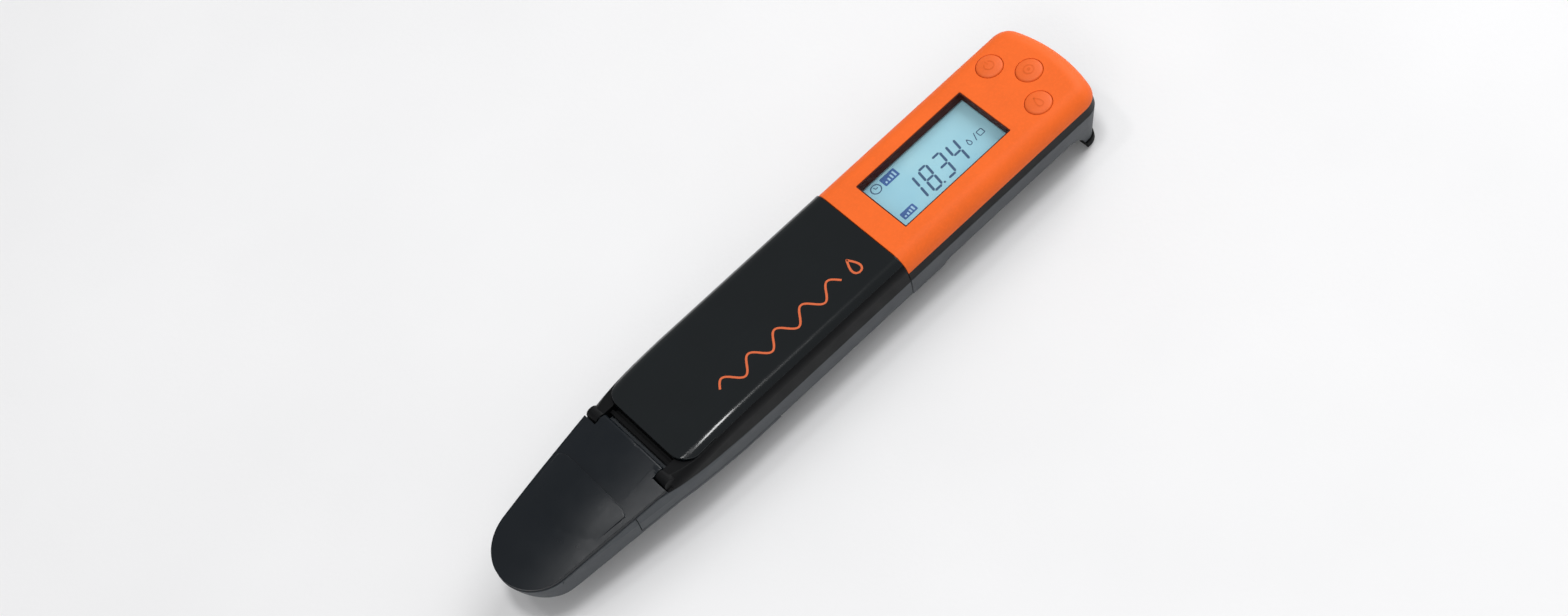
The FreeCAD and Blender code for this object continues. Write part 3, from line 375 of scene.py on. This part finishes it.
def clean_copy(node):
    """The mesh of a CAD node, welded, with its flat faces joined and the rest in quads, for even shading."""
    bm = bmesh.new()
    bm.from_mesh(frame["nodes"][node].data)
    bmesh.ops.remove_doubles(bm, verts=bm.verts, dist=WELD)
    bmesh.ops.dissolve_limit(bm, angle_limit=FLAT_ANGLE, verts=bm.verts, edges=bm.edges)
    bmesh.ops.join_triangles(bm, faces=bm.faces, angle_face_threshold=QUAD_BEND,
                             angle_shape_threshold=QUAD_SHAPE)
    return bm


def to_mesh(bm, name):
    """A smooth-shaded mesh with sharp edges; the working mesh is freed."""
    mesh = bpy.data.meshes.new(name)
    bm.normal_update()
    bm.to_mesh(mesh)
    bm.free()
    mesh.shade_smooth()
    mesh.set_sharp_from_angle(angle=EDGE_ANGLE)
    return mesh


def soften(piece, width, segments=2):
    """Rounds the sharp edges of a piece by width mm."""
    bevel = piece.modifiers.new("soft_edges", "BEVEL")
    bevel.width = width * MM
    bevel.segments = segments
    bevel.limit_method = "ANGLE"
    bevel.angle_limit = EDGE_ANGLE
    bevel.use_clamp_overlap = False
    even = piece.modifiers.new("even_normals", "WEIGHTED_NORMAL")
    even.keep_sharp = True
    even.weight = FLAT_FACE_WEIGHT
    return piece


def softened(node, width):
    """A copy of a CAD node with rounded edges, shown in its place."""
    name = node + "_shell"
    piece = add_piece(name, to_mesh(clean_copy(node), name), BODY_OF[node], SLOT_OF[node])
    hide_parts(node)
    return soften(piece, width)


EVEN_REACH = 0.6 * MM                    # faces this near share their normals
EVEN_LIMIT = math.cos(math.radians(14))  # unless they turn away more than this
OWN_SHARE = 1e-12                        # of the vertex's own normal, so that no sum is zero


def even_shading(piece):
    """Bakes the modifiers of a polished piece and averages its normals, so that reflections run smoothly."""
    shaped = piece.evaluated_get(bpy.context.evaluated_depsgraph_get())
    mesh = bpy.data.meshes.new_from_object(shaped)
    piece.modifiers.clear()
    piece.data = mesh
    faces = KDTree(len(mesh.polygons))
    touching = [set() for _ in mesh.vertices]
    for face in mesh.polygons:
        faces.insert(face.center, face.index)
        for corner in face.vertices:
            touching[corner].add(face.index)
    faces.balance()
    normals = []
    for vertex, own_faces in zip(mesh.vertices, touching):
        weights = {index: math.exp(-(distance / EVEN_REACH) ** 2)
                   for _, index, distance in faces.find_range(vertex.co, 2 * EVEN_REACH)}
        weights.update((index, 1.0) for index in own_faces)
        total = vertex.normal * OWN_SHARE
        for index, weight in weights.items():
            face = mesh.polygons[index]
            if face.normal.dot(vertex.normal) > EVEN_LIMIT:
                total += face.normal * face.area * weight
        normals.append(total.normalized())
    mesh.normals_split_custom_set_from_vertices(normals)


class Surface:
    """The upper skin of a CAD node, for laying thin pieces on it."""

    def __init__(self, node):
        bm = bmesh.new()
        bm.from_mesh(frame["nodes"][node].data)
        self.tree = BVHTree.FromBMesh(bm)
        bm.free()
        self.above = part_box(node)[1].z + MM

    def height(self, x, y):
        return self.tree.ray_cast(Vector((x, y, self.above)), DOWN)[0].z


class Underside(Surface):
    """The lower skin of a CAD node, for laying thin pieces under it."""

    def __init__(self, node):
        super().__init__(node)
        self.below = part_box(node)[0].z - MM

    def height(self, x, y):
        return self.tree.ray_cast(Vector((x, y, self.below)), -DOWN)[0].z


class Level:
    """A level plane for laying thin pieces on."""

    def __init__(self, z):
        self.z = z

    def height(self, x, y):
        return self.z


def stroke(bm, points, width, surface, lift, sink, closed=False):
    """Adds a flat line along points (x, y), from sink under the surface to lift over it."""
    count = len(points)
    rings = []
    for i, point in enumerate(points):
        before = points[i - 1] if (i or closed) else point
        after = points[(i + 1) % count] if (i < count - 1 or closed) else point
        along = (Vector(after) - Vector(before)).normalized()
        side = Vector((-along.y, along.x)) * width / 2
        ring = []
        for edge, offset in ((1, lift), (-1, lift), (-1, -sink), (1, -sink)):
            x, y = Vector(point) + side * edge
            ring.append(bm.verts.new((x, y, surface.height(x, y) + offset)))
        rings.append(ring)
    pairs = list(zip(rings, rings[1:])) + ([(rings[-1], rings[0])] if closed else [])
    for a, b in pairs:
        for k in range(4):
            bm.faces.new((a[k], b[k], b[(k + 1) % 4], a[(k + 1) % 4]))
    if not closed:
        bm.faces.new(rings[0])
        bm.faces.new(reversed(rings[-1]))


def tile(bm, outline, surface, lift, sink):
    """Adds a thin prism with the outline (x, y), from sink under the surface to lift over it."""
    top = [bm.verts.new((x, y, surface.height(x, y) + lift)) for x, y in outline]
    low = [bm.verts.new((x, y, surface.height(x, y) - sink)) for x, y in outline]
    bm.faces.new(top)
    bm.faces.new(reversed(low))
    for i in range(len(outline)):
        k = (i + 1) % len(outline)
        bm.faces.new((top[i], low[i], low[k], top[k]))


def finished(bm, name, body, slot, ink=None):
    """Turns thin marks into one piece."""
    bmesh.ops.recalc_face_normals(bm, faces=bm.faces)
    return add_piece(name, to_mesh(bm, name), body, slot, finish(ink) if ink else None)


def circle(x, y, radius, count=40, start=0.0, sweep=math.tau):
    """Points round a circle, or along an arc of it when sweep is less than a full turn."""
    steps = count if sweep == math.tau else count + 1
    angles = [start + sweep * i / count for i in range(steps)]
    return [(x + radius * math.cos(angle), y + radius * math.sin(angle)) for angle in angles]


def rounded(x0, x1, y0, y1, radius, count=6):
    """The outline of a rectangle with round corners."""
    corners = ((x1 - radius, y1 - radius, 0), (x0 + radius, y1 - radius, 1),
               (x0 + radius, y0 + radius, 2), (x1 - radius, y0 + radius, 3))
    return [point for x, y, turn in corners
            for point in circle(x, y, radius, count, turn * math.pi / 2, math.pi / 2)]


DROP_FULLNESS = 0.36
DROP_TAPER = 1.4


def drop(x, y, size, count=28):
    """The outline of a water drop that is size long, its point towards +Y."""
    reach = size * DROP_FULLNESS
    points = []
    for i in range(count):
        t = math.tau * i / count
        points.append((x + reach * math.sin(t) * math.sin(t / 2) ** DROP_TAPER, y + size / 2 * math.cos(t)))
    return points


# ---- the shells ----------------------------------------------------------------------------------------------
SHELL_EDGES = {                          # edge radius of each rounded copy, mm
    "top_case": 0.1, "middle_frame": 0.08, "lower_case": 0.1, "gloss_cover": 0.12, "sensor_frame": 0.08,
    "sensor_hull": 0.1, "sensor_guard": 0.1, "light_shield": 0.05, "sensor_plate": 0.1, "battery_door": 0.12,
    "foot": 0.1, "key_power": 0.3, "key_cal": 0.3, "key_measure": 0.3, "hinge_pins": 0.12,
    "battery_holder": 0.1, "coin_cells": 0.15, "case_screws": 0.08, "board_components": 0.08,
    "tact_switches": 0.1, "board_rails": 0.1, "contact_pins": 0.06,
}
POLISHED_NODES = ("gloss_cover",)


def make_shells():
    """Rounded copies of the nodes with edges to show, and the finish of every CAD node."""
    for node, edge in SHELL_EDGES.items():
        piece = softened(node, edge)
        if node in POLISHED_NODES:
            even_shading(piece)
    for node, thing in frame["nodes"].items():
        thing.data.materials.clear()
        thing.data.materials.append(finish(SLOT_OF[node]))


# ---- display -------------------------------------------------------------------------------------------------
INK_LIFT = 0.02 * MM
INK_SINK = 0.02 * MM
DIGITS = "1834"
DIGIT_SIZE = (2.25 * MM, 6.5 * MM)
DIGIT_PITCH = 4.08 * MM
DIGIT_LEAN = 0.16                        # sideways lean, mm per mm of height
SEGMENT_W = 0.6 * MM
SEGMENT_GAP = 0.09 * MM
SEGMENTS = {                             # ends of each bar, in shares of the digit's width and height
    "a": ((0, 1), (1, 1)), "b": ((1, 1), (1, 0.5)), "c": ((1, 0.5), (1, 0)), "d": ((1, 0), (0, 0)),
    "e": ((0, 0), (0, 0.5)), "f": ((0, 0.5), (0, 1)), "g": ((0, 0.5), (1, 0.5)),
}
LIT = {"1": "bc", "8": "abcdefg", "3": "abcdg", "4": "bcfg"}
DIGITS_AT = (7.65, -4.4)                 # places on the panel are mm from the middle of its -X edge
POINT_PLACE = 1.72                       # of the decimal point, in digit pitches
POINT_R = 0.28 * MM
CLOCK_AT = (3.9, 6.0)
CLOCK_R = 1.2 * MM
CLOCK_W, HAND_W = 0.26 * MM, 0.2 * MM
CLOCK_HANDS = ((1.9, 0.75), (0.2, 0.6))  # angle in radians and length in mm
UNIT_W = 0.22 * MM
UNIT_DROP_AT, UNIT_DROP = (25.0, -1.1), 1.7 * MM
UNIT_SLASH = ((26.4, -2.1), (27.2, -0.2))
UNIT_SQUARE = ((27.7, -1.9), (29.1, -0.5))
FLAGS = (((5.8, 4.75), (9.95, 7.2)), ((2.65, -4.75), (6.45, -2.75)))
FLAG_BARS = 4
FLAG_BAR_W = 0.42 * MM


def segment(a, b):
    """The outline of one bar with pointed ends, from corner a to corner b."""
    a, b = Vector(a), Vector(b)
    along = (b - a).normalized()
    side = Vector((-along.y, along.x)) * SEGMENT_W / 2
    tip = along * SEGMENT_GAP
    neck = along * (SEGMENT_GAP + SEGMENT_W / 2)
    return [a + tip, a + neck - side, b - neck - side, b - tip, b - neck + side, a + neck + side]


def make_digits(panel, x0, y0):
    """Leaning seven-bar digits and their decimal point, from the lower corner (x0, y0)."""
    bm = bmesh.new()
    width, height = DIGIT_SIZE
    for place, digit in enumerate(DIGITS):
        for name in LIT[digit]:
            ends = [(u * width, v * height) for u, v in SEGMENTS[name]]
            bar = [(x0 + place * DIGIT_PITCH + x + y * DIGIT_LEAN, y0 + y) for x, y in segment(*ends)]
            tile(bm, bar, panel, INK_LIFT, INK_SINK)
    tile(bm, circle(x0 + POINT_PLACE * DIGIT_PITCH, y0, POINT_R, 16), panel, INK_LIFT, INK_SINK)
    finished(bm, "display_digits", "meter", "lcd", "digit_ink")


def make_signs(panel, at):
    """A clock, and a small drop-per-square sign in the place of the unit."""
    bm = bmesh.new()

    def line(points, width, closed=False):
        stroke(bm, points, width, panel, INK_LIFT, INK_SINK, closed)

    x, y = at(*CLOCK_AT)
    line(circle(x, y, CLOCK_R), CLOCK_W, closed=True)
    for angle, length in CLOCK_HANDS:
        line([(x, y), (x + length * MM * math.cos(angle), y + length * MM * math.sin(angle))], HAND_W)
    line(drop(*at(*UNIT_DROP_AT), UNIT_DROP), UNIT_W, closed=True)
    line([at(*end) for end in UNIT_SLASH], UNIT_W)
    (left, bottom), (right, top) = [at(*corner) for corner in UNIT_SQUARE]
    line(rounded(left, right, bottom, top, 0.2 * MM, 3), UNIT_W, closed=True)
    finished(bm, "display_signs", "meter", "lcd", "digit_ink")


def make_flags(panel, at):
    """Two filled flags, each with four rising bars in the place of words."""
    flags, stripes = bmesh.new(), bmesh.new()
    for corners in FLAGS:
        (left, bottom), (right, top) = [at(*corner) for corner in corners]
        tile(flags, rounded(left, right, bottom, top, 0.25 * MM), panel, INK_LIFT, INK_SINK)
        for k in range(FLAG_BARS):
            x = left + (right - left) * (k + 0.9) / (FLAG_BARS + 0.8)
            base = bottom + (top - bottom) * 0.2
            tall = (top - bottom) * (0.22 + 0.12 * k)
            stroke(stripes, [(x, base), (x, base + tall)], FLAG_BAR_W, panel, 2 * INK_LIFT, 0)
    finished(flags, "display_flags", "meter", "lcd", "flag_ink")
    finished(stripes, "display_flag_bars", "meter", "lcd", "pale_ink")


def make_display():
    """The switched-on marks of the display."""
    low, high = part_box("lcd_glass")
    panel = Level(high.z)
    x0, y0 = low.x, (low.y + high.y) / 2

    def at(x, y):
        return x0 + x * MM, y0 + y * MM

    make_digits(panel, *at(*DIGITS_AT))
    make_signs(panel, at)
    make_flags(panel, at)


LINER_W = 0.28 * MM
WINDOW_MARGIN = 1.2 * MM                 # the clear window reaches this far under the case
LINER_DEPTH = 0.12 * MM                  # the liner's rim lies this far below the case
PANE_GAP = 0.06 * MM                     # between the pane and what it lies on


def make_window():
    """The clear pane and the dark liner of the display opening; the liner's dark brown is partly its own colour
    and partly painted shade of the opening's walls.
    """
    low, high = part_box("display_window")
    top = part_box("top_case")[1].z
    bm = bmesh.new()
    tile(bm, rounded(low.x, high.x, low.y, high.y, 0.6 * MM), Level(high.z), 0, high.z - low.z - PANE_GAP)
    pane = soften(finished(bm, "window_pane", "meter", "clear_window"), 0.05)
    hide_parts("display_window")
    inset = WINDOW_MARGIN + LINER_W / 2
    path = rounded(low.x + inset, high.x - inset, low.y + inset, high.y - inset, 0.3 * MM)
    bm = bmesh.new()
    stroke(bm, path, LINER_W, Level(high.z), top - high.z - LINER_DEPTH, 0, closed=True)
    # the liner's colour is partly painted shade of the opening's walls
    finished(bm, "window_liner_painted_shade", "meter", "orange_plastic", "window_liner_painted_shade")


# ---- marks on keys and cover ---------------------------------------------------------------------------------
GLYPH_W = 0.3 * MM
GLYPH_LIFT = 0.04 * MM
POWER_GAP = 0.55                         # half the opening of the power ring, radians


KEYS = ("key_power", "key_cal", "key_measure")


def sign_lines(key, x, y):
    """The lines of a key's sign, and whether each is closed: an open ring with a bar, a ring, or a drop."""
    if key == "key_power":
        ring = circle(x, y, 1.1 * MM, 30, math.pi / 2 + POWER_GAP, math.tau - 2 * POWER_GAP)
        return [(ring, False), ([(x, y + 0.3 * MM), (x, y + 1.4 * MM)], False)]
    if key == "key_cal":
        return [(circle(x, y, 1.15 * MM), True)]
    return [(drop(x, y, 2.8 * MM), True)]


def make_key_marks():
    """The raised sign on each key; the ring of the second one goes round a dot."""
    for key in KEYS:
        low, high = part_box(key)
        x, y = (low.x + high.x) / 2, (low.y + high.y) / 2
        cap = Surface(key)
        bm = bmesh.new()
        for points, closed in sign_lines(key, x, y):
            stroke(bm, points, GLYPH_W, cap, GLYPH_LIFT, INK_SINK, closed)
        if key == "key_cal":
            tile(bm, circle(x, y, 0.4 * MM, 20), cap, GLYPH_LIFT, INK_SINK)
        finished(bm, key + "_sign", BODY_OF[key], "orange_key", "sign_orange")


PRINT_X = (-23.0, 18.5)                  # the print's two ends, mm
PRINT_Y = -6.5
PRINT_W = 0.5 * MM
PRINT_LIFT = 0.015 * MM
RIPPLE_H = 1.8                           # half the height of the waves
RIPPLE_LENGTH = 7.6
RIPPLE_STEPS = 160
DROP_ROOM = 7                            # the ripple stops this far before the end, for the drop


def make_cover_print():
    """A ripple line and a drop, printed in orange along the near side of the gloss cover."""
    cover = Surface("gloss_cover")
    start, end = PRINT_X
    ripple = []
    for i in range(RIPPLE_STEPS + 1):
        x = start + (end - start - DROP_ROOM) * i / RIPPLE_STEPS
        y = PRINT_Y + RIPPLE_H * math.sin(math.tau * (x - start) / RIPPLE_LENGTH)
        ripple.append((x * MM, y * MM))
    outline = drop((end - 3) * MM, (PRINT_Y + 0.2) * MM, 4.4 * MM)
    bm = bmesh.new()
    stroke(bm, ripple, PRINT_W, cover, PRINT_LIFT, INK_SINK)
    stroke(bm, outline, PRINT_W, cover, PRINT_LIFT, INK_SINK, closed=True)
    finished(bm, "cover_print", "sensor", "black_gloss", "orange_ink")


# ---- underside -----------------------------------------------------------------------------------------------
DOOR_RIB_H = 0.25 * MM
DOOR_RIBS = 6


def make_door_marks():
    """Grip ribs and an arrow on the battery door."""
    low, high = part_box("battery_door")
    door = Underside("battery_door")
    middle = (low.y + high.y) / 2
    bm = bmesh.new()
    for k in range(DOOR_RIBS):
        x = high.x - (4.0 + 1.3 * k) * MM
        half = (6.2 - 0.25 * k) * MM
        stroke(bm, [(x, middle - half), (x, middle + half)], 0.6 * MM, door, INK_SINK, DOOR_RIB_H)
    tip = high.x - 15.5 * MM
    arrow = [(tip - 3 * MM, middle), (tip, middle + 2.2 * MM), (tip, middle - 2.2 * MM)]
    stroke(bm, arrow, 0.45 * MM, door, INK_SINK, DOOR_RIB_H * 0.8, closed=True)
    soften(finished(bm, "door_grip", "battery_hatch", "grey_plastic"), 0.08)


PLATE_LENGTH, PLATE_WIDTH, PLATE_THICK = 26 * MM, 15 * MM, 0.12 * MM
PLATE_MARGIN = 2 * MM
PLATE_LINES, PLATE_TICKS = 4, 10


def make_rating_plate():
    """A plain plate under the sensor, with four ruled lines and a scale of ticks."""
    hull = Underside("sensor_hull")
    x1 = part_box("sensor_hull")[1].x - 4 * MM
    x0 = x1 - PLATE_LENGTH
    half = PLATE_WIDTH / 2
    bm = bmesh.new()
    tile(bm, rounded(x0, x1, -half, half, 1.2 * MM), hull, INK_SINK, PLATE_THICK)
    finished(bm, "rating_plate", "sensor", "grey_plastic", "plate_print")
    bm = bmesh.new()

    def line(points, width):
        stroke(bm, points, width, hull, -PLATE_THICK / 2, PLATE_THICK * 1.15)

    for k in range(PLATE_LINES):
        y = half * (0.55 - 0.35 * k)
        line([(x0 + PLATE_MARGIN, y), (x1 - (2 + 3 * (k % 2)) * MM, y)], 0.3 * MM)
    for k in range(PLATE_TICKS + 1):
        x = x0 + PLATE_MARGIN + k * (PLATE_LENGTH - 2 * PLATE_MARGIN) / PLATE_TICKS
        line([(x, -half * 0.9), (x, -half * (0.72 if k % 5 else 0.62))], 0.22 * MM)
    finished(bm, "rating_plate_lines", "sensor", "black_plastic")


SCREW_HEAD_R = 1.5 * MM
CROSS_ARM, CROSS_W, CROSS_DEPTH = 0.95 * MM, 0.34 * MM, 0.05 * MM
CROSS_TURN = 0.4                         # radians


def make_screw_crosses():
    """A dark cross on each screw head, painted shade standing in for its cross recess."""
    heads = Underside("case_screws")
    low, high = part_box("case_screws")
    corners = [(x, y) for x in (low.x + SCREW_HEAD_R, high.x - SCREW_HEAD_R)
               for y in (low.y + SCREW_HEAD_R, high.y - SCREW_HEAD_R)]
    bm = bmesh.new()
    for x, y in corners:
        for angle in (CROSS_TURN, CROSS_TURN + math.pi / 2):
            reach = Vector((math.cos(angle), math.sin(angle))) * CROSS_ARM
            ends = [(x - reach.x, y - reach.y), (x + reach.x, y + reach.y)]
            stroke(bm, ends, CROSS_W, heads, INK_SINK, CROSS_DEPTH)
    finished(bm, "screw_crosses", "meter", "steel_screw", "painted_recess_shade")


# ---- inside --------------------------------------------------------------------------------------------------
STAMP_DEPTH = 0.05 * MM
PLUS_ARM = 2.2 * MM


def make_cell_marks():
    """A stamped ring and a plus sign on each coin cell."""
    low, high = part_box("coin_cells")
    radius = (high.y - low.y) / 2
    y = (low.y + high.y) / 2
    cells = Underside("coin_cells")
    bm = bmesh.new()
    for x in (low.x + radius, high.x - radius):
        stroke(bm, circle(x, y, radius * 0.82, 64), 0.25 * MM, cells, INK_SINK, STAMP_DEPTH, closed=True)
        for ends in ([(x - PLUS_ARM, y), (x + PLUS_ARM, y)], [(x, y - PLUS_ARM), (x, y + PLUS_ARM)]):
            stroke(bm, ends, 0.55 * MM, cells, INK_SINK, STAMP_DEPTH)
    finished(bm, "cell_stamping", "meter", "cell_steel", "stamped_steel")


# ---- studio --------------------------------------------------------------------------------------------------
def make_floor():
    """A wide plain floor under the object."""
    bm = bmesh.new()
    bmesh.ops.create_grid(bm, x_segments=1, y_segments=1, size=4)
    floor = bpy.data.objects.new("floor", to_mesh(bm, "floor"))
    floor.data.materials.append(studio_floor().material)
    bpy.context.collection.objects.link(floor)


def area_light(name, place, size, energy, target=(0, 0, 0.01)):
    """A rectangular soft box at place, facing target. Places and sizes in metres."""
    data = bpy.data.lights.new(name, "AREA")
    data.shape = "RECTANGLE"
    data.size, data.size_y = size
    data.energy = energy
    lamp = bpy.data.objects.new(name, data)
    lamp.location = place
    lamp.rotation_euler = (Vector(place) - Vector(target)).to_track_quat("Z", "Y").to_euler()
    bpy.context.collection.objects.link(lamp)


def make_world(strength):
    """An even white sky."""
    world = bpy.data.worlds.new("studio")
    world.use_nodes = True
    sky = world.node_tree.nodes["Background"]
    sky.inputs["Color"].default_value = (1, 1, 1, 1)
    sky.inputs["Strength"].default_value = strength
    bpy.context.scene.world = world


make_camera()
make_shells()
make_display()
make_window()
make_key_marks()
make_cover_print()
make_door_marks()
make_rating_plate()
make_screw_crosses()
make_cell_marks()
make_floor()
area_light("overhead", (0.0, -0.07, 1.0), (0.15, 0.18), 2.5)
area_light("tip", (-0.24, 0.17, 1.0), (0.1, 0.1), 0.7, target=(-0.06, 0, 0.01))
area_light("side", (1.0, 0.1, 0.75), (0.9, 0.9), 10.2)
area_light("front", (-0.9, -0.9, 0.9), (0.9, 0.9), 3.6)
make_world(0.38)
bpy.context.scene.view_settings.view_transform = "Standard"
